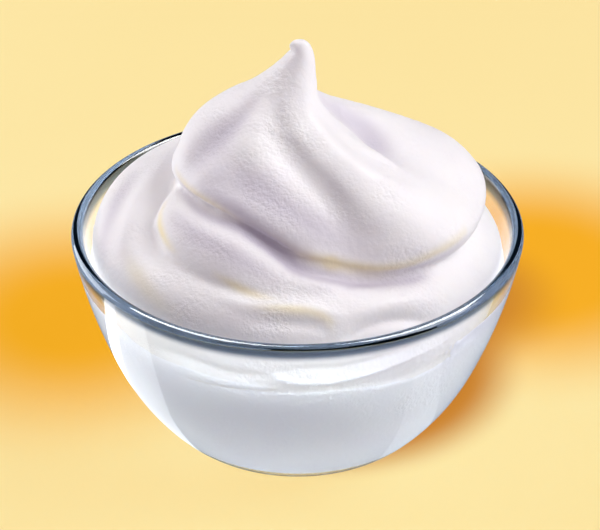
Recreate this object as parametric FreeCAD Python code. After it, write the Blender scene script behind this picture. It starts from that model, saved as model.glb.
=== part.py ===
import FreeCAD, Part
import os
from math import cos, degrees, exp, pi, radians, sin

# A small glass bowl heaped with whipped cream. Millimetres, +Z up, origin in the middle of the bowl's
# foot. The bowl is open upwards; -Y is the side shown, where the cream's top fold hangs lowest.
#
# The bowl is one turned profile. The cream is one solid: a bed that meets the bowl's wall below the
# rim, a middle fold on it and a dollop drawn up to a hooked tip. Each of the three is a stack of rings
# under a smooth skin, and the whole is cut to the inside of the bowl.

# ---- driving dimensions ----

# Bowl
BOWL_RADIUS = 60.0          # outside, at the rim
WALL = 3.2                  # the same all over, floor included
# Arcs of the outside from the foot up: radius, and slope in degrees where the arc ends
BOWL_ARCS = ((22.0, 48.0), (68.0, 67.0), (159.0, 80.0))

# Cream
RING_POINTS = 40            # points on each ring of the cream
RINGS_PER_KEY = 2           # rings for each listed one
END_RADIUS = 4.0            # the flat ends of the bed and the middle fold, both inside the cream
HEAP_RADIUS = BOWL_RADIUS - 1.5   # the space that the cream may take above the rim
HEAP_HEIGHT = 70.0          # the same, upwards

# Rings of the bed from below up: height over the rim, radius
BED = (
    (-70.0, 62.0),
    (-24.0, 62.0),
    (-20.0, 59.0),
    (-18.2, 55.5),
    (-16.8, 53.2),
    (-14.5, 53.0),
    (-10.5, 54.1),
    (-6.0, 54.6),
    (-2.0, 54.0),
    (1.6, 52.2),
    (4.6, 49.4),
    (7.0, 45.6),
    (8.8, 40.4),
    (9.9, 33.0),
    (10.5, 18.0),
    (10.6, 4.0),
)
SIDE_REACH = 2.6            # how much further out it stands under the rim on its two sides

# Rings of the middle fold: height over the rim, radius
MIDDLE_CENTRE = (-1.0, -4.0)
MIDDLE = (
    (0.0, 4.0),
    (0.0, 22.0),
    (1.2, 31.0),
    (4.0, 34.0),
    (7.6, 33.4),
    (11.2, 30.6),
    (14.2, 26.0),
    (16.0, 18.0),
    (16.5, 4.0),
)
# Its tongue, which comes out from under the dollop in front: azimuths between which it comes out and
# those between which it goes back, how far out it stands, how much lower its far end lies and between
# which azimuths it sinks
TONGUE_OUT = (178.0, 204.0)
TONGUE_BACK = (285.0, 345.0)
TONGUE_REACH = 6.4
TONGUE_SINK = 5.0
TONGUE_SINKS = (238.0, 272.0)
TONGUE_END = (286.0, 20.0, 2.6)    # azimuth, half width and further reach of its far end

# Rings of the dollop: height over the rim, radius, centre X, centre Y, roll towards -X in degrees
DOLLOP = (
    (4.0, 12.0, 9.5, -4.0, 0.0),
    (4.5, 22.0, 9.5, -4.0, 0.0),
    (6.5, 31.0, 9.0, -3.0, 0.0),
    (11.5, 37.3, 8.5, -0.5, 0.0),
    (17.0, 36.5, 7.0, 0.0, 0.0),
    (22.0, 32.0, 3.9, 0.0, 0.0),
    (27.0, 25.6, -2.0, 0.2, 0.0),
    (31.5, 19.4, -5.7, 1.3, 0.0),
    (35.5, 14.2, -6.3, 2.8, 0.0),
    (39.5, 9.6, -4.3, 3.9, 0.0),
    (43.5, 6.6, -1.9, 4.9, 0.0),
    (47.0, 4.6, 0.0, 5.6, 0.0),
    (49.4, 3.5, 0.6, 6.0, 8.0),
    (51.0, 2.6, 0.5, 6.0, 30.0),
    (51.7, 1.8, -0.2, 6.0, 58.0),
    (51.7, 1.1, -1.4, 6.0, 84.0),
    (51.0, 0.5, -2.3, 6.0, 104.0),
)
LIP = (272.0, 24.0, 4.2)           # azimuth, half width and drop of the lowest part of its lip

# Folds that wind up the dollop, each from below up: height over the rim, azimuth in degrees from +X,
# depth (ridges +, hollows -), half width in degrees
FRONT_VALLEY = ((8, -84, 0.0, 15), (14, -82, -1.4, 15), (20, -80, -3.0, 15), (26, -78, -4.0, 15),
                (32, -82, -3.6, 17), (36, -93, -2.2, 20), (40, -110, -1.2, 26), (45, -120, -0.4, 36))
FRONT_RIDGE = ((6, -40, 0.0, 24), (11, -44, 1.8, 22), (17, -46, 3.6, 21), (23, -48, 4.4, 21),
               (28, -50, 4.0, 21), (33, -54, 3.2, 22), (38, -66, 1.8, 26), (44, -76, 0.6, 34))
RIGHT_HOLLOW = ((14, -24, 0.0, 15), (20, -18, -1.6, 15), (25, -8, -5.0, 16), (28, 2, -6.6, 17),
                (32, 10, -5.0, 19), (36, 10, -2.6, 24), (42, -10, 0.0, 34))
RIGHT_RIDGE = ((8, 14, 0.4, 24), (16, 16, 1.6, 20), (22, 24, 3.2, 20), (27, 34, 3.6, 20),
               (32, 42, 2.2, 22), (40, 50, 0.2, 34))
LEFT_RIDGE = ((10, 190, 0.0, 26), (17, 192, 0.5, 24), (22, 195, 1.2, 24), (27, 197, 1.0, 24),
              (32, 193, 1.2, 24), (36, 188, 1.4, 26), (40, 186, 0.9, 28), (44, 196, 0.3, 36))
LEFT_BAND = ((18, -118, 0.0, 12), (26, -114, 0.6, 11), (33, -111, 0.8, 11), (38, -120, 0.5, 14),
             (43, -128, 0.0, 20))
BACK_VALLEY = ((8, 100, 0.0, 18), (18, 96, -2.0, 18), (26, 88, -2.6, 20), (34, 78, -1.6, 24),
               (44, 70, 0.0, 36))
BACK_RIDGE = ((8, 140, 0.6, 22), (18, 136, 1.6, 22), (28, 128, 1.8, 24), (36, 118, 1.0, 28),
              (44, 110, 0.0, 40))
FOLDS = (FRONT_VALLEY, FRONT_RIDGE, RIGHT_HOLLOW, RIGHT_RIDGE, LEFT_RIDGE, LEFT_BAND, BACK_VALLEY, BACK_RIDGE)


# ---- bowl ----

def bowl_side(offset):
    """Profile of the bowl's outside, moved inwards by offset: its arcs from the foot up, each as its
    centre (radius, height), its own radius and the slopes in degrees where it starts and ends."""
    arcs = []
    radius = BOWL_RADIUS
    slopes = [0.0] + [end for _, end in BOWL_ARCS]
    for (arc, end), start in zip(BOWL_ARCS, slopes):
        radius -= arc * (sin(radians(end)) - sin(radians(start)))
    height = 0.0
    for (arc, end), start in zip(BOWL_ARCS, slopes):
        centre = (radius - arc * sin(radians(start)), height + arc * cos(radians(start)))
        arcs.append((centre, arc - offset, start, end))
        radius = centre[0] + arc * sin(radians(end))
        height = centre[1] - arc * cos(radians(end))
    return arcs


def on_arc(arc, slope):
    """Point of an arc of the profile where it has the given slope, in the plane Y = 0."""
    (centre_r, centre_z), radius, _, _ = arc
    return FreeCAD.Vector(centre_r + radius * sin(radians(slope)), 0, centre_z - radius * cos(radians(slope)))


def arc_edges(arcs):
    edges = []
    for arc in arcs:
        _, _, start, end = arc
        curve = Part.Arc(on_arc(arc, start), on_arc(arc, (start + end) / 2), on_arc(arc, end))
        edges.append(curve.toShape())
    return edges


def turned(edges):
    """Solid of revolution about the Z axis of a closed outline in the plane Y = 0."""
    face = Part.Face(Part.Wire(Part.__sortEdges__(edges)))
    return face.revolve(FreeCAD.Vector(0, 0, 0), FreeCAD.Vector(0, 0, 1), 360)


def line(start, end):
    return Part.LineSegment(start, end).toShape()


OUTSIDE = bowl_side(0.0)
INSIDE = bowl_side(WALL)
RIM_SLOPE = BOWL_ARCS[-1][1]
RIM_OUTER = on_arc(OUTSIDE[-1], RIM_SLOPE)
RIM_INNER = on_arc(INSIDE[-1], RIM_SLOPE)
RIM_HEIGHT = RIM_OUTER.z    # where the outside meets the rounded rim


def glass_bowl():
    foot = on_arc(OUTSIDE[0], 0.0)
    floor = on_arc(INSIDE[0], 0.0)
    rim_middle = (RIM_OUTER + RIM_INNER) * 0.5
    rim = [((rim_middle.x, rim_middle.z), WALL / 2, start, start + 90.0)
           for start in (RIM_SLOPE, RIM_SLOPE + 90.0)]
    edges = arc_edges(OUTSIDE + rim + INSIDE)
    edges.append(line(floor, FreeCAD.Vector(0, 0, floor.z)))
    edges.append(line(FreeCAD.Vector(0, 0, floor.z), FreeCAD.Vector(0, 0, 0)))
    edges.append(line(FreeCAD.Vector(0, 0, 0), foot))
    return turned(edges)


def cream_space():
    """Where cream can be: the bowl's inside, and a wide cylinder above the rim."""
    floor = on_arc(INSIDE[0], 0.0)
    top = RIM_HEIGHT + HEAP_HEIGHT
    edges = arc_edges(INSIDE)
    edges.append(line(RIM_INNER, FreeCAD.Vector(HEAP_RADIUS, 0, RIM_HEIGHT + WALL)))
    edges.append(line(FreeCAD.Vector(HEAP_RADIUS, 0, RIM_HEIGHT + WALL), FreeCAD.Vector(HEAP_RADIUS, 0, top)))
    edges.append(line(FreeCAD.Vector(HEAP_RADIUS, 0, top), FreeCAD.Vector(0, 0, top)))
    edges.append(line(FreeCAD.Vector(0, 0, top), FreeCAD.Vector(0, 0, floor.z)))
    edges.append(line(FreeCAD.Vector(0, 0, floor.z), floor))
    return turned(edges)


# ---- cream ----

def smooth(share):
    """0 to 1 with level ends."""
    share = max(0.0, min(1.0, share))
    return share * share * (3 - 2 * share)


def wave(angle, count, towards):
    """Cosine round the ring, count times, with a crest towards the given azimuth in degrees."""
    return cos(count * (angle - radians(towards)))


def rise(azimuth, limits):
    """0 before the first limit, 1 after the second."""
    return smooth((azimuth - limits[0]) / (limits[1] - limits[0]))


def bump(azimuth, form):
    """Swell round an azimuth, of a half width and a size."""
    centre, half_width, size = form
    return size * exp(-((azimuth - centre) / half_width) ** 2)


def between(keys, place):
    """Row of keys at place, from 0 at the first to 1 at the last, on a smooth curve through them all
    (a Catmull-Rom spline)."""
    last = len(keys) - 1
    place = place * last
    row = min(int(place), last - 1)
    f = place - row
    near = [keys[max(0, min(last, row + step))] for step in (-1, 0, 1, 2)]
    values = []
    for before, low, high, after in zip(*near):
        square = 2 * before - 5 * low + 4 * high - after
        cube = 3 * (low - high) - before + after
        values.append(low + 0.5 * ((high - before) * f + square * f ** 2 + cube * f ** 3))
    return values


def at_height(fold, height):
    """Azimuth, depth and half width of a fold at a height."""
    height = max(fold[0][0], min(fold[-1][0], height))
    for low, high in zip(fold, fold[1:]):
        if height <= high[0]:
            share = smooth((height - low[0]) / (high[0] - low[0]))
            return [a + (b - a) * share for a, b in zip(low[1:], high[1:])]


def folds_depth(angle, height):
    """How far the folds stand out of the dollop's ring, at an angle and a height."""
    depth = 0.0
    for fold in FOLDS:
        azimuth, crest, half_width = at_height(fold, height)
        off = (degrees(angle) - azimuth + 180.0) % 360.0 - 180.0
        depth += crest * exp(-(off / half_width) ** 2)
    return depth


def bed_point(angle, place):
    height, radius = between(BED, place)
    radius += (1 - smooth((height + 11.0) / 5.0)) * SIDE_REACH * cos(angle) ** 4
    upper = smooth((height + 8.0) / 12.0)
    inner = smooth((radius - END_RADIUS) / 20.0)
    height += upper * inner * (3.0 * wave(angle, 1, 172) + 0.6 * wave(angle, 2, 160))
    if height > -20.0:
        height += (1 - upper) * 0.8 * wave(angle, 3, 200)
    radius += upper * inner * (0.4 * wave(angle, 2, 10) + 0.3 * wave(angle, 3, 80))
    return FreeCAD.Vector(radius * cos(angle), radius * sin(angle), RIM_HEIGHT + height)


def middle_point(angle, place):
    height, radius = between(MIDDLE, place)
    inner = smooth((radius - END_RADIUS) / 25.0)
    azimuth = degrees(angle) % 360.0
    shown = rise(azimuth, TONGUE_OUT) * (1 - rise(azimuth, TONGUE_BACK))
    height += inner * (4.6 * wave(angle, 1, 196) - TONGUE_SINK * rise(azimuth, TONGUE_SINKS))
    radius += inner * (TONGUE_REACH * shown + bump(azimuth, TONGUE_END))
    centre_x, centre_y = MIDDLE_CENTRE
    return FreeCAD.Vector(centre_x + radius * cos(angle), centre_y + radius * sin(angle), RIM_HEIGHT + height)


def dollop_point(angle, place):
    height, radius, centre_x, centre_y, roll = between(DOLLOP, place)
    lean = 1 - smooth((height - 6.0) / 26.0)
    if height < 6.4:
        lean *= smooth((radius - 12.0) / 12.0)
    lift = lean * (-3.2 * cos(angle) - 5.3 * sin(angle) + 2.8 * cos(2 * angle) + 3.7 * sin(2 * angle))
    lift -= lean * bump(degrees(angle) % 360.0, LIP)
    oval = smooth((50.0 - height) / 20.0) * (0.08 * cos(2 * angle) - 0.03 * sin(2 * angle))
    radius = radius * (1 + oval) + folds_depth(angle, height) * min(1.0, radius / 20.0)
    side = radius * cos(angle)
    return FreeCAD.Vector(
        centre_x + side * cos(radians(roll)),
        centre_y + radius * sin(angle),
        RIM_HEIGHT + height + lift + side * sin(radians(roll)))


def skinned(point, keys):
    """Solid under a smooth skin that follows the rings of point(angle, place), flat at its two ends."""
    rows = RINGS_PER_KEY * (len(keys) - 1) + 1
    net = [[point(2 * pi * turn / RING_POINTS, row / (rows - 1)) for row in range(rows)]
           for turn in range(RING_POINTS)]
    around = list(range(RING_POINTS + 1))
    upwards = list(range(rows - 2))
    skin = Part.BSplineSurface()
    skin.buildFromPolesMultsKnots(
        net, [1] * len(around), [4] + [1] * (len(upwards) - 2) + [4], around, upwards, True, False, 3, 3)
    side = skin.toShape()
    ends = [Part.Face(Part.Wire(skin.vIso(knot).toShape())) for knot in (upwards[0], upwards[-1])]
    shell = Part.Shell([side] + ends)
    shell.sewShape()
    return Part.Solid(shell)


def cream():
    heap = skinned(bed_point, BED)
    heap = heap.fuse(skinned(middle_point, MIDDLE))
    heap = heap.fuse(skinned(dollop_point, DOLLOP))
    return heap.common(cream_space())


def write(name, shape):
    solid = shape.Solids[0]
    print(name, "solids", len(shape.Solids), "valid", solid.isValid(),
          "volume cm3 %.2f" % (solid.Volume / 1000), "box", solid.BoundBox)
    solid.exportStep(os.path.join("parts", name + ".step"))


os.makedirs("parts", exist_ok=True)
write("glass_bowl", glass_bowl())
write("cream", cream())
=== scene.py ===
import bpy
import numpy as np
from math import cos, pi, radians, sin
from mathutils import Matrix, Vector, noise


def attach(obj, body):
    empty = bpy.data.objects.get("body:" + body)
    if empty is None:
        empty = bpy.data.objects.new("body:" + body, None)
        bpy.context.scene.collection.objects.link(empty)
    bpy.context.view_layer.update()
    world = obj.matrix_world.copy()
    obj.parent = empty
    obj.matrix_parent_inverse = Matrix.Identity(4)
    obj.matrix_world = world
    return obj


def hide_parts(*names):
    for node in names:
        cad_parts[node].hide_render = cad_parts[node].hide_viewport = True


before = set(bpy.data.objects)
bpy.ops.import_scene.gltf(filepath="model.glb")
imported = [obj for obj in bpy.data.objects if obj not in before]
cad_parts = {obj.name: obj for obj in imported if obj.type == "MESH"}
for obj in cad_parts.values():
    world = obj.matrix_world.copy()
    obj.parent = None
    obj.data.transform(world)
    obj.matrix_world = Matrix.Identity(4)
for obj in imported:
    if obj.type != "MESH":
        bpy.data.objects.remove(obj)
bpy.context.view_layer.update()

# A glass bowl heaped with whipped cream. Shapes are worked out in millimetres, with the same dimensions
# and the same ring functions as in the CAD part, and turned to metres where a mesh is made. The cream
# then gets what the CAD part leaves out: the strokes and the foam of its surface.

MM = 0.001

# ---- driving dimensions, as in the CAD part ----

# Bowl
BOWL_RADIUS = 60.0          # outside, at the rim
WALL = 3.2
BOWL_ARCS = ((22.0, 48.0), (68.0, 67.0), (159.0, 80.0))     # radius, slope in degrees where the arc ends

# Rings of the bed from below up: height over the rim, radius
BED = np.array((
    (-70.0, 62.0), (-24.0, 62.0), (-20.0, 59.0), (-18.2, 55.5), (-16.8, 53.2), (-14.5, 53.0), (-10.5, 54.1),
    (-6.0, 54.6), (-2.0, 54.0), (1.6, 52.2), (4.6, 49.4), (7.0, 45.6), (8.8, 40.4), (9.9, 33.0), (10.5, 18.0),
    (10.6, 4.0)))
SIDE_REACH = 2.6            # how much further out it stands under the rim on its two sides
END_RADIUS = 4.0            # the flat ends of the bed and the middle fold, both inside the cream

# Rings of the middle fold: height over the rim, radius
MIDDLE_CENTRE = (-1.0, -4.0)
MIDDLE = np.array((
    (0.0, 4.0), (0.0, 22.0), (1.2, 31.0), (4.0, 34.0), (7.6, 33.4), (11.2, 30.6), (14.2, 26.0), (16.0, 18.0),
    (16.5, 4.0)))
# Its tongue, which comes out from under the dollop in front: azimuths between which it comes out and
# those between which it goes back, how far out it stands, how much lower its far end lies and between
# which azimuths it sinks
TONGUE_OUT = (178.0, 204.0)
TONGUE_BACK = (285.0, 345.0)
TONGUE_REACH = 6.4
TONGUE_SINK = 5.0
TONGUE_SINKS = (238.0, 272.0)
TONGUE_END = (286.0, 20.0, 2.6)    # azimuth, half width and further reach of its far end

# Rings of the dollop: height over the rim, radius, centre X, centre Y, roll towards -X in degrees
DOLLOP = np.array((
    (4.0, 12.0, 9.5, -4.0, 0.0),
    (4.5, 22.0, 9.5, -4.0, 0.0),
    (6.5, 31.0, 9.0, -3.0, 0.0),
    (11.5, 37.3, 8.5, -0.5, 0.0),
    (17.0, 36.5, 7.0, 0.0, 0.0),
    (22.0, 32.0, 3.9, 0.0, 0.0),
    (27.0, 25.6, -2.0, 0.2, 0.0),
    (31.5, 19.4, -5.7, 1.3, 0.0),
    (35.5, 14.2, -6.3, 2.8, 0.0),
    (39.5, 9.6, -4.3, 3.9, 0.0),
    (43.5, 6.6, -1.9, 4.9, 0.0),
    (47.0, 4.6, 0.0, 5.6, 0.0),
    (49.4, 3.5, 0.6, 6.0, 8.0),
    (51.0, 2.6, 0.5, 6.0, 30.0),
    (51.7, 1.8, -0.2, 6.0, 58.0),
    (51.7, 1.1, -1.4, 6.0, 84.0),
    (51.0, 0.5, -2.3, 6.0, 104.0)))
LIP = (272.0, 24.0, 4.2)           # azimuth, half width and drop of the lowest part of its lip

# Folds that wind up the dollop, each from below up: height over the rim, azimuth in degrees from +X,
# depth (ridges +, hollows -), half width in degrees
FRONT_VALLEY = ((8, -84, 0.0, 15), (14, -82, -1.4, 15), (20, -80, -3.0, 15), (26, -78, -4.0, 15),
                (32, -82, -3.6, 17), (36, -93, -2.2, 20), (40, -110, -1.2, 26), (45, -120, -0.4, 36))
FRONT_RIDGE = ((6, -40, 0.0, 24), (11, -44, 1.8, 22), (17, -46, 3.6, 21), (23, -48, 4.4, 21),
               (28, -50, 4.0, 21), (33, -54, 3.2, 22), (38, -66, 1.8, 26), (44, -76, 0.6, 34))
RIGHT_HOLLOW = ((14, -24, 0.0, 15), (20, -18, -1.6, 15), (25, -8, -5.0, 16), (28, 2, -6.6, 17),
                (32, 10, -5.0, 19), (36, 10, -2.6, 24), (42, -10, 0.0, 34))
RIGHT_RIDGE = ((8, 14, 0.4, 24), (16, 16, 1.6, 20), (22, 24, 3.2, 20), (27, 34, 3.6, 20),
               (32, 42, 2.2, 22), (40, 50, 0.2, 34))
LEFT_RIDGE = ((10, 190, 0.0, 26), (17, 192, 0.5, 24), (22, 195, 1.2, 24), (27, 197, 1.0, 24),
              (32, 193, 1.2, 24), (36, 188, 1.4, 26), (40, 186, 0.9, 28), (44, 196, 0.3, 36))
LEFT_BAND = ((18, -118, 0.0, 12), (26, -114, 0.6, 11), (33, -111, 0.8, 11), (38, -120, 0.5, 14),
             (43, -128, 0.0, 20))
BACK_VALLEY = ((8, 100, 0.0, 18), (18, 96, -2.0, 18), (26, 88, -2.6, 20), (34, 78, -1.6, 24),
               (44, 70, 0.0, 36))
BACK_RIDGE = ((8, 140, 0.6, 22), (18, 136, 1.6, 22), (28, 128, 1.8, 24), (36, 118, 1.0, 28),
              (44, 110, 0.0, 40))
FOLDS = [np.array(fold, float) for fold in (
    FRONT_VALLEY, FRONT_RIDGE, RIGHT_HOLLOW, RIGHT_RIDGE, LEFT_RIDGE, LEFT_BAND, BACK_VALLEY, BACK_RIDGE)]

# ---- fineness of the meshes ----

AROUND_GLASS = 192          # facets round the glass
ARC_STEP = 1.6              # degrees of slope between rings of the glass, fewer on wide arcs
RIM_STEPS = 20              # facets over the rounded rim
SAME_POINT = 0.01           # mm
VOXEL = 0.5                 # mm, of the skin that joins the three parts of the cream
TRIANGLES = 190000          # of the finished cream
STROKE_STEPS = 6            # stretches of a stroke between two of its listed points

# ---- surface of the cream ----

INTO_WALL = 0.2             # mm that the cream reaches into the glass
PIVOT_DEPTH = 30.0          # mm under the rim; cream below this is pressed in towards the axis at this level
HALVINGS = 20               # steps of the search for the place where such a point meets the wall
STROKES_FROM = (-18.0, -15.0)      # heights over the rim between which strokes and foam begin
FOAM_RISE = 0.11            # mm of the fine bubbles' unevenness
FOAM_SCALE = 0.75           # its swells in a mm
PATCH_SCALE = 0.09          # patches with more of it in a mm


# ---- meshes ----

def linked(name, data):
    """New object of the scene with this mesh, lamp or camera."""
    obj = bpy.data.objects.new(name, data)
    bpy.context.scene.collection.objects.link(obj)
    return obj


def new_object(name, verts, faces):
    mesh = bpy.data.meshes.new(name)
    mesh.from_pydata([tuple(v) for v in verts], [], faces)
    mesh.validate()
    return linked(name, mesh)


def shade_smooth(obj):
    obj.data.polygons.foreach_set("use_smooth", [True] * len(obj.data.polygons))
    obj.data.update()


def applied(obj):
    """Puts the result of an object's modifiers into its mesh."""
    graph = bpy.context.evaluated_depsgraph_get()
    mesh = bpy.data.meshes.new_from_object(obj.evaluated_get(graph))
    old = obj.data
    obj.modifiers.clear()
    obj.data = mesh
    bpy.data.meshes.remove(old)


def places_of(obj):
    co = np.zeros(len(obj.data.vertices) * 3)
    obj.data.vertices.foreach_get("co", co)
    return co.reshape(-1, 3)


def normals_of(obj):
    no = np.zeros(len(obj.data.vertices) * 3)
    obj.data.vertex_normals.foreach_get("vector", no)
    return no.reshape(-1, 3)


def put(obj, co):
    obj.data.vertices.foreach_set("co", co.ravel())
    obj.data.update()


def paint(obj, name, values):
    """Keeps one number per vertex for the material."""
    layer = obj.data.attributes.new(name, "FLOAT", "POINT")
    layer.data.foreach_set("value", np.clip(values, 0, 1).astype(np.float32))


def joined(name, parts):
    """One object with the meshes of all parts."""
    verts = []
    faces = []
    start = 0
    for part in parts:
        verts.append(places_of(part))
        faces += [[start + v for v in p.vertices] for p in part.data.polygons]
        start += len(part.data.vertices)
        bpy.data.objects.remove(part)
    return new_object(name, np.concatenate(verts), faces)


# ---- bowl ----

def bowl_side(offset):
    """Points (radius, height) of the bowl's outside moved inwards by offset, from the foot up."""
    radius = BOWL_RADIUS
    slopes = [0.0] + [end for _, end in BOWL_ARCS]
    for (arc, end), start in zip(BOWL_ARCS, slopes):
        radius -= arc * (sin(radians(end)) - sin(radians(start)))
    height = 0.0
    points = []
    for (arc, end), start in zip(BOWL_ARCS, slopes):
        centre_r = radius - arc * sin(radians(start))
        centre_z = height + arc * cos(radians(start))
        count = max(2, round((end - start) / ARC_STEP * (1 + arc / BOWL_RADIUS)))
        for i in range(count + 1):
            slope = radians(start + (end - start) * i / count)
            points.append((centre_r + (arc - offset) * sin(slope), centre_z - (arc - offset) * cos(slope)))
        radius = centre_r + arc * sin(radians(end))
        height = centre_z - arc * cos(radians(end))
    kept = [points[0]]
    for p in points[1:]:
        if abs(p[0] - kept[-1][0]) + abs(p[1] - kept[-1][1]) > SAME_POINT:
            kept.append(p)
    return kept


RIM_SLOPE = BOWL_ARCS[-1][1]
OUTSIDE = bowl_side(0.0)
INSIDE = bowl_side(WALL)
RIM_HEIGHT = OUTSIDE[-1][1]     # where the outside meets the rounded rim


def turned(name, profile, around):
    """Closed solid of revolution about Z of a profile (radius, height) in mm, both ends on the axis."""
    verts = [(0.0, 0.0, profile[0][1] * MM)]
    for r, z in profile[1:-1]:
        for k in range(around):
            a = 2 * pi * k / around
            verts.append((r * cos(a) * MM, r * sin(a) * MM, z * MM))
    verts.append((0.0, 0.0, profile[-1][1] * MM))
    rings = len(profile) - 2
    top = 1 + (rings - 1) * around
    faces = []
    for k in range(around):
        n = (k + 1) % around
        faces.append((0, 1 + n, 1 + k))
        for i in range(rings - 1):
            low = 1 + i * around
            high = low + around
            faces.append((low + k, low + n, high + n, high + k))
        faces.append((top + k, top + n, len(verts) - 1))
    obj = new_object(name, verts, faces)
    shade_smooth(obj)
    return obj


def glass_bowl():
    """The bowl as one closed skin: foot, outside, rounded rim, inside, floor."""
    middle_r = (OUTSIDE[-1][0] + INSIDE[-1][0]) / 2
    middle_z = (OUTSIDE[-1][1] + INSIDE[-1][1]) / 2
    rim = []
    for i in range(1, RIM_STEPS):
        slope = radians(RIM_SLOPE + 180.0 * i / RIM_STEPS)
        rim.append((middle_r + WALL / 2 * sin(slope), middle_z - WALL / 2 * cos(slope)))
    foot = [(0.0, 0.0), (OUTSIDE[0][0] * 0.5, 0.0)]
    floor = [(INSIDE[0][0] * 0.5, INSIDE[0][1]), (0.0, INSIDE[0][1])]
    return turned("bowl_glass", foot + OUTSIDE + rim + INSIDE[::-1] + floor, AROUND_GLASS)


# ---- rings of the cream ----

def smooth(share):
    """0 to 1 with level ends."""
    share = np.clip(share, 0.0, 1.0)
    return share * share * (3 - 2 * share)


def rise(value, limits):
    """0 before the first limit, 1 after the second."""
    return smooth((value - limits[0]) / (limits[1] - limits[0]))


def bump(azimuth, form):
    """Swell round an azimuth, of a half width and a size."""
    centre, half_width, size = form
    return size * np.exp(-((azimuth - centre) / half_width) ** 2)


def wave(angle, count, towards):
    """Cosine round the ring, count times, with a crest towards the given azimuth in degrees."""
    return np.cos(count * (angle - radians(towards)))


def between(keys, place):
    """Columns of keys at place, from 0 at the first row to 1 at the last, on a smooth curve through them
    all (a Catmull-Rom spline)."""
    last = len(keys) - 1
    row = np.minimum((place * last).astype(int), last - 1)
    f = (place * last - row)[..., None]
    before, low, high, after = (keys[np.clip(row + step, 0, last)] for step in (-1, 0, 1, 2))
    square = 2 * before - 5 * low + 4 * high - after
    cube = 3 * (low - high) - before + after
    values = low + 0.5 * ((high - before) * f + square * f ** 2 + cube * f ** 3)
    return [values[..., k] for k in range(values.shape[-1])]


def at_height(fold, height):
    """Azimuth, depth and half width of a fold at heights."""
    place = np.interp(height, fold[:, 0], np.arange(len(fold)))
    row = np.minimum(place.astype(int), len(fold) - 2)
    share = smooth(place - row)[..., None]
    values = fold[row] + (fold[row + 1] - fold[row]) * share
    return values[..., 1], values[..., 2], values[..., 3]


def folds_depth(angle, height):
    """How far the folds stand out of the dollop's ring, at angles and heights."""
    depth = np.zeros_like(height)
    for fold in FOLDS:
        azimuth, crest, half_width = at_height(fold, height)
        off = (np.degrees(angle) - azimuth + 180.0) % 360.0 - 180.0
        depth += crest * np.exp(-(off / half_width) ** 2)
    return depth


# Each of these gives points in mm at angles round a ring and at places from the first ring, 0, to the last, 1

def bed_points(angle, place):
    height, radius = between(BED, place)
    radius = radius + (1 - smooth((height + 11.0) / 5.0)) * SIDE_REACH * np.cos(angle) ** 4
    upper = smooth((height + 8.0) / 12.0)
    inner = smooth((radius - END_RADIUS) / 20.0)
    ripple = np.where(height > -20.0, (1 - upper) * 0.8 * wave(angle, 3, 200), 0.0)
    height = height + upper * inner * (3.0 * wave(angle, 1, 172) + 0.6 * wave(angle, 2, 160)) + ripple
    radius = radius + upper * inner * (0.4 * wave(angle, 2, 10) + 0.3 * wave(angle, 3, 80))
    return np.stack([radius * np.cos(angle), radius * np.sin(angle), RIM_HEIGHT + height], -1)


def middle_points(angle, place):
    height, radius = between(MIDDLE, place)
    inner = smooth((radius - END_RADIUS) / 25.0)
    azimuth = np.degrees(angle) % 360.0
    shown = rise(azimuth, TONGUE_OUT) * (1 - rise(azimuth, TONGUE_BACK))
    height = height + inner * (4.6 * wave(angle, 1, 196) - TONGUE_SINK * rise(azimuth, TONGUE_SINKS))
    radius = radius + inner * (TONGUE_REACH * shown + bump(azimuth, TONGUE_END))
    centre_x, centre_y = MIDDLE_CENTRE
    return np.stack([centre_x + radius * np.cos(angle), centre_y + radius * np.sin(angle),
                     RIM_HEIGHT + height], -1)


def dollop_points(angle, place):
    height, radius, centre_x, centre_y, roll = between(DOLLOP, place)
    lean = 1 - smooth((height - 6.0) / 26.0)
    lean = lean * np.where(height < 6.4, smooth((radius - 12.0) / 12.0), 1.0)
    lift = lean * (-3.2 * np.cos(angle) - 5.3 * np.sin(angle)
                   + 2.8 * np.cos(2 * angle) + 3.7 * np.sin(2 * angle))
    lift = lift - lean * bump(np.degrees(angle) % 360.0, LIP)
    oval = smooth((50.0 - height) / 20.0) * (0.08 * np.cos(2 * angle) - 0.03 * np.sin(2 * angle))
    radius = radius * (1 + oval) + folds_depth(angle, height) * np.minimum(1.0, radius / 20.0)
    side = radius * np.cos(angle)
    return np.stack([centre_x + side * np.cos(np.radians(roll)), centre_y + radius * np.sin(angle),
                     RIM_HEIGHT + height + lift + side * np.sin(np.radians(roll))], -1)


def skinned(name, points, around, rows):
    """Closed skin over the rings that points(angle, place) gives."""
    angle, place = np.meshgrid(2 * pi * np.arange(around) / around, np.linspace(0, 1, rows))
    grid = points(angle, place).reshape(-1, 3) * MM
    k = np.arange(around)
    n = (k + 1) % around
    faces = []
    for i in range(rows - 1):
        low = i * around
        high = low + around
        faces += np.stack([low + k, low + n, high + n, high + k], 1).tolist()
    faces.append(list(range(around))[::-1])
    faces.append([(rows - 1) * around + j for j in range(around)])
    return new_object(name, grid, faces)


def inside_radius(height):
    """Radius of the bowl's inside at heights in mm over the foot."""
    side = np.array(INSIDE)
    return np.interp(height, side[:, 1], side[:, 0])


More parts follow.
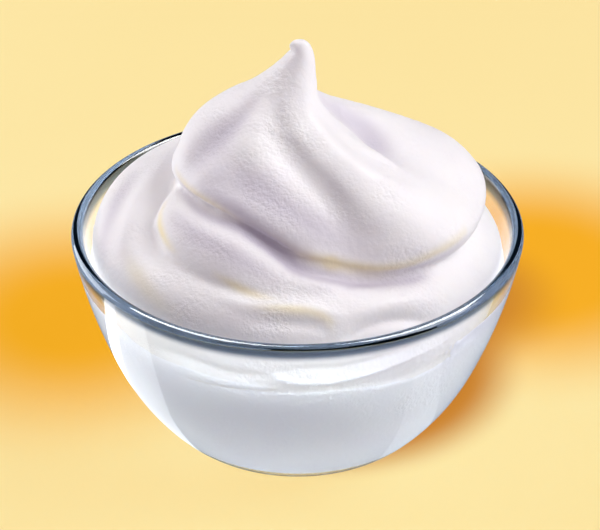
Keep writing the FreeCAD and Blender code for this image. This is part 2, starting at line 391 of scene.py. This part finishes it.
def pressed_in(co):
    """Points in mm outside the bowl's inner surface are brought back to just inside the glass."""
    r = np.hypot(co[:, 0], co[:, 1])
    z = co[:, 2]
    limit = np.where(z < RIM_HEIGHT + 1.0, inside_radius(z) + INTO_WALL, BOWL_RADIUS)
    lowest = INSIDE[0][1] - INTO_WALL
    pivot = RIM_HEIGHT - PIVOT_DEPTH
    side = (r > limit) & (z > pivot)
    co[side, :2] *= (limit[side] / r[side])[:, None]
    deep = (z <= pivot) & ((r > limit) | (z < lowest))
    fits = np.zeros(deep.sum())
    too_far = np.ones(deep.sum())
    for _ in range(HALVINGS):
        share = (fits + too_far) / 2
        height = pivot + (z[deep] - pivot) * share
        out = (r[deep] * share > inside_radius(height) + INTO_WALL) | (height < lowest)
        too_far = np.where(out, share, too_far)
        fits = np.where(out, fits, share)
    co[deep, :2] *= fits[:, None]
    co[deep, 2] = pivot + (z[deep] - pivot) * fits
    return co


# ---- strokes of the cream, and its painted highlight and painted shade ----

# Strokes, each a line of: x, y, height over the rim, half width, rise along the normal
STROKES = {
    "left_edge_shade": (
        (-4.0, 1.0, 46.0, 1.8, -0.1), (-8.5, -0.5, 42.5, 2.6, -0.6), (-13.0, -4.0, 38.5, 3.4, -1.2),
        (-17.5, -7.0, 35.5, 4.0, -1.6), (-22.0, -9.5, 32.5, 4.4, -1.7), (-26.0, -11.5, 29.0, 4.4, -1.4),
        (-29.0, -12.0, 25.5, 4.2, -0.6)),
    "front_groove": (
        (0.0, 3.0, 50.5, 0.8, -0.1), (-2.0, 1.0, 46.5, 1.3, -0.2), (-5.0, -2.5, 42.0, 1.8, -0.4),
        (-6.0, -5.0, 40.0, 2.2, -0.5), (-4.0, -9.5, 36.0, 2.4, -0.7), (-0.5, -15.0, 32.0, 2.6, -1.0),
        (3.5, -19.0, 29.0, 2.8, -1.2), (7.0, -22.0, 26.5, 3.2, -1.3), (10.5, -26.5, 22.5, 3.6, -1.0),
        (14.5, -31.0, 18.0, 4.0, -0.3)),
    "front_crest": (
        (2.5, -1.0, 42.5, 2.0, 0.3), (4.0, -5.5, 38.0, 2.6, 0.6), (7.0, -11.0, 34.0, 3.2, 0.9),
        (12.5, -16.0, 30.5, 3.6, 1.1), (18.0, -19.0, 27.5, 3.8, 1.0), (24.5, -20.5, 25.0, 4.2, 0.7),
        (31.0, -20.5, 22.5, 4.6, 0.3)),
    "right_hollow": (
        (6.5, 5.0, 37.0, 2.6, -0.5), (10.0, 7.0, 33.5, 3.6, -1.2), (14.5, 6.5, 31.0, 4.4, -1.9),
        (19.0, 3.0, 29.0, 4.8, -2.4), (22.5, -2.5, 27.0, 4.6, -2.4), (25.5, -6.5, 25.5, 3.6, -1.7),
        (29.0, -10.5, 24.0, 2.8, -0.5)),
    "hollow_edge": (
        (11.5, -6.0, 32.0, 2.0, 0.2), (16.0, -8.5, 30.0, 2.2, 0.6), (21.0, -10.5, 27.5, 2.2, 0.8),
        (26.0, -12.5, 25.0, 2.0, 0.5), (30.5, -14.5, 23.0, 1.8, 0.1)),
    "torn_back": (
        (17.0, -10.5, 30.0, 0.7, 0.1), (21.5, -11.0, 28.5, 0.8, 0.4), (26.0, -11.0, 26.0, 0.7, 0.1)),
    "torn_middle": (
        (20.5, -13.5, 28.0, 0.7, 0.1), (24.0, -15.0, 26.5, 0.8, 0.4), (28.0, -15.5, 25.0, 0.7, 0.1)),
    "torn_front": (
        (22.0, -18.0, 27.0, 0.7, 0.1), (25.0, -19.5, 26.0, 0.8, 0.4), (29.0, -20.0, 24.5, 0.7, 0.1)),
    "face_swell": (
        (-6.5, 0.5, 43.5, 2.0, 0.1), (-9.5, -4.0, 39.0, 3.2, 0.4), (-10.5, -10.5, 35.0, 4.2, 0.6),
        (-9.0, -16.5, 31.0, 4.6, 0.4), (-5.5, -21.5, 28.0, 4.6, 0.1)),
    "face_dip": (
        (-19.0, -14.0, 29.5, 4.0, -0.2), (-14.5, -20.5, 28.0, 4.4, -0.7), (-8.5, -25.0, 26.0, 4.6, -0.9),
        (-1.0, -29.0, 22.5, 4.6, -0.7), (6.0, -33.0, 18.0, 4.4, -0.2)),
    "lip_edge": (
        (-10.0, -31.0, 18.0, 1.8, 0.1), (-4.0, -32.5, 15.5, 1.8, 0.4), (0.5, -33.5, 13.5, 1.8, 0.7),
        (8.5, -34.0, 11.5, 1.8, 0.8), (15.5, -34.0, 10.0, 1.8, 0.8), (22.0, -34.0, 9.5, 1.8, 0.8),
        (29.0, -33.5, 10.5, 1.8, 0.6), (36.5, -30.5, 12.5, 1.6, 0.3), (43.0, -23.0, 13.5, 1.4, 0.1)),
    "lip_crease": (
        (-13.0, -30.5, 16.5, 1.6, -0.2), (-7.0, -32.5, 14.0, 1.8, -0.7), (-3.0, -34.5, 12.5, 2.2, -1.2),
        (0.5, -36.5, 11.0, 2.4, -1.6), (8.5, -37.5, 9.5, 2.4, -1.7), (15.5, -37.0, 8.0, 2.3, -1.6),
        (22.0, -36.0, 7.0, 2.2, -1.3), (29.0, -33.5, 6.0, 1.8, -0.8), (36.5, -29.5, 8.0, 1.6, -0.4),
        (43.0, -24.0, 9.5, 1.4, -0.1)),
    "left_bed_crest": (
        (-45.5, -24.0, 6.5, 2.8, 0.2), (-44.5, -18.0, 9.0, 3.0, 1.1), (-42.5, -10.0, 11.5, 3.2, 1.8),
        (-39.5, -1.0, 13.0, 3.4, 1.8), (-36.5, 9.0, 13.0, 3.8, 1.1), (-33.5, 18.0, 12.5, 4.2, 0.1)),
    "left_bed_dip": (
        (-31.5, 6.0, 13.0, 2.4, -0.3), (-34.0, -5.5, 12.5, 2.6, -1.3), (-36.0, -14.5, 11.5, 3.0, -1.8),
        (-37.0, -22.5, 10.0, 3.4, -1.5), (-36.5, -30.0, 9.0, 3.6, -0.9), (-31.0, -36.5, 8.5, 3.6, -0.2)),
    "front_ripple": (
        (-21.0, -42.5, 7.0, 1.6, 0.0), (-14.0, -46.0, 6.0, 1.9, 0.5), (-8.0, -47.0, 5.5, 2.1, 0.7),
        (-2.0, -47.5, 5.0, 2.2, 0.8), (4.0, -47.5, 5.0, 2.2, 0.7), (9.5, -48.0, 4.0, 2.4, 0.4),
        (14.0, -47.5, 3.0, 2.6, 0.0)),
    "front_ripple_foot": (
        (-14.0, -49.0, 3.0, 2.0, -0.1), (-7.0, -50.0, 3.0, 2.0, -0.6), (0.0, -50.0, 2.5, 2.0, -0.8),
        (5.0, -50.5, 2.0, 1.8, -0.5), (7.5, -51.5, 0.0, 1.6, -0.1)),
    "right_fold": (
        (10.5, -52.5, -3.0, 1.3, 0.0), (13.5, -51.0, -1.0, 1.5, -1.1), (17.0, -49.0, 0.5, 1.6, -1.6),
        (21.5, -46.5, 1.0, 1.7, -1.7), (27.5, -44.0, 0.0, 1.7, -1.3), (32.5, -42.0, -2.0, 1.5, -0.6),
        (37.0, -39.5, -4.0, 1.4, 0.0)),
    "right_fold_back": (
        (12.5, -47.5, 2.0, 2.2, 0.1), (17.5, -45.5, 3.0, 2.4, 0.8), (22.5, -43.0, 3.5, 2.6, 1.0),
        (28.5, -40.0, 3.0, 2.6, 0.9), (34.5, -37.5, 1.5, 2.6, 0.3)),
    "streak_left": (
        (-49.5, -20.0, -15.5, 1.2, 0.2), (-45.5, -28.0, -15.5, 1.2, 0.8), (-40.5, -35.0, -14.5, 1.3, 1.0),
        (-34.0, -41.5, -13.5, 1.4, 1.2), (-27.0, -47.0, -13.0, 1.3, 1.2), (-18.5, -50.5, -13.0, 1.2, 0.9),
        (-10.5, -52.5, -13.0, 1.1, 0.4), (-4.0, -53.5, -13.5, 1.0, 0.0)),
    "streak_low": (
        (-32.0, -42.0, -16.5, 0.9, 0.2), (-23.0, -47.5, -16.5, 1.0, 0.6), (-12.0, -51.5, -16.0, 1.0, 0.8),
        (-1.0, -53.0, -15.5, 1.0, 0.8), (9.5, -52.5, -15.0, 1.0, 0.8), (17.5, -50.0, -15.5, 1.0, 0.6),
        (25.5, -46.5, -16.0, 0.9, 0.2)),
    "streak_middle": (
        (-12.5, -52.5, -7.0, 0.8, 0.2), (-6.0, -53.5, -9.0, 0.9, 0.8), (-1.0, -54.0, -10.5, 0.9, 0.9),
        (5.5, -53.5, -11.0, 0.9, 0.9), (15.5, -51.5, -10.0, 0.9, 0.9), (25.0, -47.5, -8.5, 0.9, 0.8),
        (33.0, -42.5, -7.5, 0.9, 0.6), (41.0, -35.0, -6.5, 0.9, 0.2)),
    "streak_dip": (
        (-40.0, -36.0, -9.5, 1.6, -0.3), (-28.0, -46.0, -8.5, 1.7, -1.1), (-14.0, -52.0, -10.0, 1.6, -0.8),
        (0.0, -54.0, -7.0, 1.2, -0.8), (12.0, -52.5, -7.0, 1.2, -0.8), (24.0, -48.0, -5.5, 1.3, -0.8),
        (36.0, -39.5, -4.5, 1.4, -0.2)),
}

# Lines along which a pale yellow gleam is painted into the cream's colour, a painted highlight of light
# reflected under the lips: as above, with the strength of the tint at the end
PAINTED_GLINT_LINES = {
    "lip_left": (
        (-32.5, -6.0, 22.5, 0.9, 0.1), (-29.5, -13.5, 21.5, 1.2, 0.6), (-25.5, -19.5, 21.5, 1.3, 0.7),
        (-20.0, -25.0, 21.0, 1.4, 0.8), (-15.5, -28.5, 19.5, 1.5, 0.9), (-10.0, -31.0, 17.5, 1.5, 0.9),
        (-4.0, -32.5, 15.0, 1.6, 0.9), (0.5, -33.5, 13.0, 1.6, 0.9), (8.5, -34.5, 11.0, 1.6, 0.9)),
    "lip_right": (
        (8.5, -34.5, 11.0, 1.6, 0.9), (15.5, -34.5, 9.5, 1.6, 1.0), (22.0, -34.5, 9.0, 1.6, 0.9),
        (29.0, -34.0, 10.0, 1.6, 0.8), (36.5, -30.5, 12.0, 1.5, 0.6), (43.0, -23.0, 13.0, 1.3, 0.3)),
    "tongue_end": (
        (-34.0, -15.0, 16.0, 1.2, 0.5), (-35.5, -20.5, 14.0, 1.4, 1.0), (-34.0, -26.5, 12.5, 1.3, 0.8),
        (-31.0, -31.0, 11.5, 1.0, 0.1)),
    "tongue_foot": (
        (-20.5, -38.5, 10.0, 1.0, 0.2), (-16.0, -41.0, 8.5, 1.2, 0.7), (-10.5, -43.5, 7.0, 1.2, 0.6),
        (-5.0, -44.5, 6.0, 1.0, 0.1)),
    "ripple": (
        (-13.0, -47.0, 6.0, 1.2, 0.2), (-3.0, -47.5, 5.5, 1.4, 0.8), (3.0, -48.0, 5.0, 1.4, 0.8),
        (7.5, -49.0, 3.5, 1.3, 0.6), (8.5, -50.5, 1.5, 1.2, 0.1)),
    "left_bed": (
        (-44.0, -24.0, 6.5, 2.0, 0.1), (-41.0, -31.0, 5.0, 2.6, 0.4), (-36.0, -38.0, 2.5, 2.4, 0.3),
        (-30.0, -43.0, 0.5, 2.0, 0.1)),
}

# Lines where a lavender grey shade is painted into the cream, a little greyer in creases, hollows and on
# faces that should lie in shade
PAINTED_SHADE_LINES = {
    "left_face": (
        (-9.0, -0.5, 42.0, 2.0, 0.1), (-14.5, -4.5, 38.0, 3.4, 0.5), (-20.0, -8.5, 34.0, 4.4, 0.8),
        (-25.0, -11.5, 29.5, 4.6, 0.6)),
    "face": (
        (-18.0, -18.0, 27.0, 4.6, 0.5), (-10.5, -24.0, 26.5, 5.0, 0.75), (-2.0, -28.5, 22.5, 5.0, 0.75),
        (7.5, -31.5, 18.5, 5.0, 0.65), (17.0, -33.5, 13.5, 4.4, 0.1)),
    "face_foot": (
        (-24.0, -19.0, 24.0, 2.4, 0.3), (-17.0, -26.0, 22.5, 2.8, 0.65), (-12.0, -29.5, 19.5, 3.0, 0.7),
        (-5.5, -32.0, 16.0, 3.0, 0.65), (1.0, -34.0, 13.5, 3.0, 0.4)),
    "right_hollow": (
        (8.0, 8.5, 34.0, 3.0, 0.5), (12.0, 9.0, 31.5, 4.0, 0.8), (17.0, 6.5, 28.5, 4.4, 0.9),
        (21.5, 0.5, 26.5, 3.8, 0.9), (25.0, -4.5, 25.0, 3.0, 0.3)),
    "crease": (
        (-30.0, -11.5, 19.0, 1.4, 0.4), (-25.5, -21.5, 19.0, 1.6, 0.8), (-20.0, -26.5, 18.5, 1.8, 0.9),
        (-13.0, -30.0, 16.5, 2.2, 1.0), (-7.0, -32.5, 14.0, 2.4, 1.0), (-3.0, -34.5, 12.0, 2.6, 1.0),
        (0.5, -36.5, 10.0, 2.8, 1.0), (8.5, -38.0, 8.5, 2.8, 1.0), (15.5, -37.5, 7.0, 2.6, 1.0),
        (22.0, -36.0, 6.0, 2.4, 0.9), (29.0, -33.5, 5.5, 2.2, 0.8), (36.5, -29.5, 8.0, 1.8, 0.5),
        (43.0, -24.0, 9.5, 1.4, 0.1)),
    "tongue": (
        (-31.0, -22.0, 16.5, 2.6, 0.3), (-26.0, -29.0, 16.0, 3.0, 0.6), (-20.0, -33.5, 15.0, 3.2, 0.65),
        (-13.0, -37.5, 12.5, 3.2, 0.65), (-6.0, -41.0, 10.5, 3.0, 0.4)),
    "under_rim_right": (
        (14.0, -52.0, -9.0, 6.0, 0.2), (28.0, -46.0, -9.0, 7.0, 0.5), (40.0, -36.0, -8.0, 7.0, 0.6),
        (49.0, -22.0, -8.0, 7.0, 0.6), (54.0, -4.0, -8.0, 6.0, 0.3)),
    "left_bed": (
        (-50.5, -17.0, 3.0, 3.0, 0.3), (-48.5, -8.0, 7.0, 3.0, 0.6), (-46.5, 1.0, 9.5, 3.0, 0.6),
        (-44.0, 9.0, 11.0, 3.0, 0.3)),
}


def stroke_rise(co, strokes):
    """How far each point of co, in mm, is pushed out along its normal by the strokes."""
    out = np.zeros(len(co))
    for keys in strokes.values():
        keys = np.array(keys)
        count = STROKE_STEPS * (len(keys) - 1) + 1
        line = np.stack(between(keys, np.linspace(0, 1, count)), -1)
        reach = 3 * keys[:, 3].max()
        low = line[:, :3].min(0) - reach
        high = line[:, :3].max(0) + reach
        near = np.nonzero(((co > low) & (co < high)).all(1))[0]
        best = np.full(len(near), np.inf)
        width = np.ones(len(near))
        depth = np.zeros(len(near))
        for a, b in zip(line[:-1], line[1:]):
            along = b[:3] - a[:3]
            share = np.clip((co[near] - a[:3]) @ along / (along @ along), 0, 1)
            off = np.linalg.norm(co[near] - a[:3] - share[:, None] * along, axis=1)
            closer = off < best
            best = np.where(closer, off, best)
            width = np.where(closer, a[3] + (b[3] - a[3]) * share, width)
            depth = np.where(closer, a[4] + (b[4] - a[4]) * share, depth)
        out[near] += depth * np.exp(-(best / width) ** 2)
    return out


def foam_rise(co):
    """Small unevenness of the whipped surface, in patches."""
    out = np.zeros(len(co))
    for i, p in enumerate(co):
        patch = 0.35 + 0.65 * max(0.0, noise.noise(Vector(p) * PATCH_SCALE) * 2.2)
        out[i] = patch * noise.noise(Vector(p) * FOAM_SCALE)
    return FOAM_RISE * out


def heap_skin():
    """Bed, middle fold and dollop under one skin."""
    bed = skinned("bed", bed_points, around=300, rows=160)
    put(bed, pressed_in(places_of(bed) / MM) * MM)
    middle = skinned("middle", middle_points, around=240, rows=100)
    dollop = skinned("dollop", dollop_points, around=300, rows=220)
    mass = joined("cream_mass", [bed, middle, dollop])
    remesh = mass.modifiers.new("one_skin", "REMESH")
    remesh.mode = "VOXEL"
    remesh.voxel_size = VOXEL * MM
    soften = mass.modifiers.new("soften", "SMOOTH")
    soften.factor = 0.5
    soften.iterations = 12
    applied(mass)
    return mass


def cream():
    """The heap with its strokes, its foam and the shares of its painted highlight and painted shade."""
    mass = heap_skin()
    co = places_of(mass) / MM
    over_rim = co - (0, 0, RIM_HEIGHT)
    out = stroke_rise(over_rim, STROKES) + foam_rise(co)
    co += normals_of(mass) * (out * rise(over_rim[:, 2], STROKES_FROM))[:, None]
    put(mass, pressed_in(co) * MM)
    # Shares of the painted yellow highlight and of the painted grey shade
    paint(mass, "painted_glint", stroke_rise(over_rim, PAINTED_GLINT_LINES))
    paint(mass, "painted_shade", stroke_rise(over_rim, PAINTED_SHADE_LINES))
    share = TRIANGLES / (2 * len(mass.data.polygons))       # its faces are quads
    if share < 1:
        fewer = mass.modifiers.new("fewer", "DECIMATE")
        fewer.ratio = share
        applied(mass)
    shade_smooth(mass)
    return mass


# ---- materials ----

class Graph:
    """Node tree of a material or of the world."""

    def __init__(self, owner):
        owner.use_nodes = True
        self.owner = owner
        self.nodes = owner.node_tree.nodes
        self.links = owner.node_tree.links

    def fill(self, node, inputs):
        """Gives inputs of a node a number, a colour or another node's output."""
        for key, value in inputs.items():
            socket = node.inputs[key]
            if isinstance(value, bpy.types.NodeSocket):
                self.links.new(value, socket)
            elif socket.type == "RGBA":
                socket.default_value = (*value, 1)
            else:
                socket.default_value = value

    def add(self, kind, inputs, **settings):
        """New node with these settings and inputs."""
        node = self.nodes.new(kind)
        for name, value in settings.items():
            setattr(node, name, value)
        self.fill(node, inputs)
        return node

    def surface(self, shader):
        self.fill(self.nodes["Material Output"], {"Surface": shader})

    def place(self):
        return self.add("ShaderNodeTexCoord", {}).outputs["Object"]

    def light_path(self):
        return self.add("ShaderNodeLightPath", {}).outputs

    def painted(self, name):
        """The number that paint() kept under this name."""
        return self.add("ShaderNodeAttribute", {}, attribute_name=name).outputs["Fac"]

    def noise(self, place, scale, detail):
        """Noise with scale swells a metre."""
        node = self.add("ShaderNodeTexNoise", {"Vector": place, "Scale": scale, "Detail": detail})
        return node.outputs["Fac"]

    def math(self, operation, *values, clamp=False):
        node = self.add("ShaderNodeMath", dict(enumerate(values)), operation=operation, use_clamp=clamp)
        return node.outputs[0]

    def measured(self, operation, place, other):
        """Number worked out from a place and a vector."""
        return self.add("ShaderNodeVectorMath", {0: place, 1: other}, operation=operation).outputs["Value"]

    def part(self, place, axis):
        """One coordinate of a place."""
        return self.add("ShaderNodeSeparateXYZ", {0: place}).outputs[axis]

    def ranged(self, value, low, high, to_low=0.0, to_high=1.0):
        """Value between low and high brought smoothly to a new range."""
        limits = {"From Min": low, "From Max": high, "To Min": to_low, "To Max": to_high}
        node = self.add("ShaderNodeMapRange", {"Value": value, **limits}, interpolation_type="SMOOTHSTEP")
        return node.outputs[0]

    def mixed(self, share, low, high):
        """Colour between low and high."""
        return self.add("ShaderNodeMix", {0: share, 6: low, 7: high}, data_type="RGBA").outputs[2]

    def lit(self, colour, glow_colour, glow):
        """Diffuse shader that also glows."""
        diffuse = self.add("ShaderNodeBsdfDiffuse", {"Color": colour})
        emission = self.add("ShaderNodeEmission", {"Color": glow_colour, "Strength": glow})
        return self.add("ShaderNodeAddShader", {0: diffuse.outputs[0], 1: emission.outputs[0]}).outputs[0]

    def shader_mix(self, share, first, second):
        return self.add("ShaderNodeMixShader", {0: share, 1: first, 2: second}).outputs[0]


def material(name):
    """A new material's graph and its own shader."""
    graph = Graph(bpy.data.materials.new(name))
    return graph, graph.nodes["Principled BSDF"]


RIM_PAINTED_DARK_FROM = (-3.0, -0.6)       # heights over the rim between which the glass is painted dark, a painted shade for the dark that refraction shows in a glass rim


def glass_material():
    """Clear glass with a rim painted dark blue, a painted shade for the dark that refraction shows there, and
    a faint blue green in its depth. Lamps shine straight through it.
    """
    graph, shader = material("clear_glass")
    low, high = ((RIM_HEIGHT + height) * MM for height in RIM_PAINTED_DARK_FROM)
    painted_dark_share = graph.ranged(graph.part(graph.place(), "Z"), low, high)
    # Painted shade: the colour of the glass turns dark blue towards the rim
    glass_with_painted_dark_rim = graph.mixed(painted_dark_share, (1.0, 1.0, 1.0), (0.060, 0.092, 0.155))
    graph.fill(shader, {"Base Color": glass_with_painted_dark_rim, "Transmission Weight": 1.0, "Roughness": 0.0, "IOR": 1.5})
    clear = graph.add("ShaderNodeBsdfTransparent", {"Color": (0.98, 0.99, 1.0)})
    shadow_ray = graph.light_path()["Is Shadow Ray"]
    graph.surface(graph.shader_mix(shadow_ray, shader.outputs[0], clear.outputs[0]))
    depth = graph.add("ShaderNodeVolumeAbsorption", {"Color": (0.40, 0.66, 0.80), "Density": 14.0})
    graph.fill(graph.nodes["Material Output"], {"Volume": depth.outputs[0]})
    return graph.owner


def foam_bump(graph, place):
    """Fine bubbles and grain, stronger in patches."""
    cells = graph.add("ShaderNodeTexVoronoi", {"Vector": place, "Scale": 850.0}, feature="SMOOTH_F1")
    grain = graph.noise(place, 1500.0, 3.0)
    lumps = graph.math("MULTIPLY_ADD", cells.outputs["Distance"], -0.8, grain)
    patches = graph.ranged(graph.noise(place, 70.0, 2.0), 0.42, 0.62, 0.25, 1.0)
    relief = graph.math("MULTIPLY", lumps, patches)
    return graph.add("ShaderNodeBump", {"Strength": 0.5, "Distance": 0.0005, "Height": relief}).outputs[0]


def cream_material():
    """Off-white that varies a little, with a painted yellow highlight and painted grey shade, and a finely
    whipped surface.
    """
    graph, shader = material("whipped_cream")
    place = graph.place()
    cloud = graph.ranged(graph.noise(place, 55.0, 3.0), 0.35, 0.68)
    colour = graph.mixed(cloud, (0.93, 0.915, 0.925), (0.95, 0.945, 0.93))
    # Painted highlight: a pale yellow gleam along the lips and the tongue
    colour = graph.mixed(graph.painted("painted_glint"), colour, (0.94, 0.84, 0.55))
    # Painted shade: lavender grey in the creases, hollows and faces that should lie in shade
    colour = graph.mixed(graph.painted("painted_shade"), colour, (0.61, 0.57, 0.65))
    wet = graph.ranged(graph.noise(place, 90.0, 2.0), 0.3, 0.7, 0.42, 0.58)
    graph.fill(shader, {
        "Base Color": colour,
        "Roughness": wet,
        "Normal": foam_bump(graph, place),
        "Specular IOR Level": 0.2,
        "Subsurface Weight": 0.3,
        "Subsurface Radius": (1.0, 0.9, 0.8),
        "Subsurface Scale": 0.003})
    return graph.owner


# Painted shadows, where the floor is more deeply coloured, in metres: x, y, radius of the full colour, radius
# of its end
# Orange painted shadows either side of the bowl
PAINTED_SHADOW_HALOS = ((-0.066, 0.050, 0.016, 0.078), (0.072, 0.076, 0.022, 0.075))
# Brown painted shadows along the bowl's right side
PAINTED_SHADOWS = ((0.011, 0.024, 0.038, 0.056), (0.038, 0.060, 0.018, 0.046))


def seen_floor(graph, place):
    """The floor to the eye: pale yellow, with orange painted shadows either side and brown painted shadows
    beside the bowl.
    """
    colour = graph.mixed(graph.noise(place, 9.0, 3.0), (0.08, 0.19, 0.17), (0.10, 0.21, 0.19))
    glow = (0.90, 0.61, 0.20)
    for spots, shadow_colour, shadow_glow in ((PAINTED_SHADOW_HALOS, (0.13, 0.05, 0.01), (0.80, 0.38, 0.01)),
                                  (PAINTED_SHADOWS, (0.10, 0.05, 0.01), (0.50, 0.18, 0.02))):
        for x, y, full, reach in spots:
            near = graph.ranged(graph.measured("DISTANCE", place, (x, y, 0.0)), full, reach, 1.0, 0.0)
            # Painted shadow: the floor's colour and glow turn darker near these places
            colour = graph.mixed(near, colour, shadow_colour)
            glow = graph.mixed(near, glow, shadow_glow)
    return graph.lit(colour, glow, 1.0)


NEAR_FOOT = (0.006, -0.014, 0.0)   # middle of the brighter part of the floor in the light that it throws
CARD_WHITE = (0.95, 0.97, 1.0)


def throwing_floor(graph, place):
    """The floor in the light that it throws on the object: neutral, brighter near the foot."""
    lift = graph.ranged(graph.measured("DISTANCE", place, NEAR_FOOT), 0.045, 0.085, 1.05, 0.02)
    return graph.lit((0.77, 0.75, 0.77), CARD_WHITE, lift)


# Bright cards beside the object that only mirror images show, in metres: side in X, a point of the
# card's near edge, slope of that edge, glow. One with a glow below 0 ends the card before it.
CARDS = (
    (-1, -0.063, -0.029, 0.293, 1.0),
    (-1, -0.065, 0.006, 0.293, 1.8),
    (-1, -0.065, 0.022, 0.293, -2.8),
    (1, 0.019, -0.022, -0.677, 0.30),
    (1, 0.064, -0.026, -0.677, -0.30))
CARD_EDGE = 0.001           # half of the width of a card's soft edge


def card_glow(graph, place, card):
    """Glow of the floor behind the card's edge on its side of the object, 0 elsewhere."""
    side, x, y, slope, glow = card
    start = y - slope * x
    across = graph.measured("DOT_PRODUCT", place, (-slope, 1.0, 0.0))
    behind = graph.ranged(across, start - CARD_EDGE, start + CARD_EDGE, 0.0, glow)
    beside = graph.math("GREATER_THAN", graph.math("MULTIPLY", graph.part(place, "X"), side), 0.0)
    return graph.math("MULTIPLY", behind, beside)


def mirrored_floor(graph, place):
    """The floor in mirror images: dark blue grey, with the cards."""
    glow = card_glow(graph, place, CARDS[0])
    for card in CARDS[1:]:
        glow = graph.math("ADD", glow, card_glow(graph, place, card))
    return graph.lit((0.20, 0.26, 0.32), CARD_WHITE, glow)


def floor_material():
    """One look for the eye, one for the light thrown on the object and one for its mirror images."""
    graph, shader = material("floor")
    graph.nodes.remove(shader)
    place = graph.place()
    path = graph.light_path()
    mirror = graph.math("SUBTRACT", path["Is Glossy Ray"], path["Diffuse Depth"], clamp=True)
    unseen = graph.shader_mix(mirror, throwing_floor(graph, place), mirrored_floor(graph, place))
    views = graph.math("MAXIMUM", path["Is Camera Ray"], path["Is Transmission Ray"])
    direct = graph.math("SUBTRACT", views, path["Diffuse Depth"], clamp=True)
    graph.surface(graph.shader_mix(direct, unseen, seen_floor(graph, place)))
    return graph.owner


# ---- build ----

bowl = glass_bowl()
bowl.data.materials.append(glass_material())
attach(bowl, "root")
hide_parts("glass_bowl")

heap = cream()
heap.data.materials.append(cream_material())
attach(heap, "root")
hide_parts("cream")

# ---- floor, light and camera, in metres ----

FLOOR_REACH = 6.0
corners = [(x * FLOOR_REACH, y * FLOOR_REACH, 0.0) for x, y in ((-1, -1), (1, -1), (1, 1), (-1, 1))]
floor = new_object("floor", corners, [(0, 1, 2, 3)])
floor.data.materials.append(floor_material())


def studio_world():
    """Even light from all around, which the glass shows and mirrors as a dark blue."""
    world = bpy.data.worlds.new("studio")
    graph = Graph(world)
    even = graph.nodes["Background"]
    graph.fill(even, {"Color": (1.0, 0.87, 0.96), "Strength": 0.375})
    dark = graph.add("ShaderNodeBackground", {"Color": (0.02, 0.05, 0.10), "Strength": 1.0})
    path = graph.light_path()
    in_glass = graph.math("MAXIMUM", path["Is Glossy Ray"], path["Is Transmission Ray"])
    direct = graph.math("SUBTRACT", in_glass, path["Diffuse Depth"], clamp=True)
    background = graph.shader_mix(direct, even.outputs[0], dark.outputs[0])
    graph.fill(graph.nodes["World Output"], {"Surface": background})
    return world


bpy.context.scene.world = studio_world()


def aim(obj, place, target):
    """Puts a lamp or the camera at place, turned to the target."""
    obj.location = place
    obj.rotation_euler = (Vector(target) - Vector(place)).to_track_quat("-Z", "Y").to_euler()


HEAP_MIDDLE = (0.0, 0.0, 0.07)


def softbox(name, place, width, height, strength):
    """Area lamp aimed at the heap, whose glow is strength times white."""
    lamp = bpy.data.lights.new(name, "AREA")
    lamp.shape = "RECTANGLE"
    lamp.size = width
    lamp.size_y = height
    lamp.energy = strength * pi * width * height
    obj = linked(name, lamp)
    aim(obj, place, HEAP_MIDDLE)
    return obj


softbox("left_softbox", (-0.56, 0.28, 0.20), 0.4, 0.5, 5.1)
softbox("right_softbox", (0.49, -0.09, 0.54), 0.4, 0.5, 5.2)

# Two more lamps light only what is glossy: they are the sparkle on the rim and on the cream
for name, place in (("top_left_softbox", (-0.24, 0.26, 0.80)), ("top_right_softbox", (0.34, 0.22, 0.76))):
    sparkle = softbox(name, place, 0.42, 0.42, 22.0)
    sparkle.visible_diffuse = False
    sparkle.visible_transmission = False

RIM_CENTRE = Vector((0.0, 0.0, 0.0607))
CAMERA_RISE = radians(31.4)
CAMERA_DISTANCE = 0.7
CAMERA_TARGET = (0.00066, 0.0, 0.0492)
camera_data = bpy.data.cameras.new("camera")
camera_data.sensor_width = 36.0
camera_data.lens = 157.9
camera = linked("camera", camera_data)
aim(camera, RIM_CENTRE + CAMERA_DISTANCE * Vector((0.0, -cos(CAMERA_RISE), sin(CAMERA_RISE))), CAMERA_TARGET)
bpy.context.scene.camera = camera
bpy.context.scene.view_settings.view_transform = "Standard"
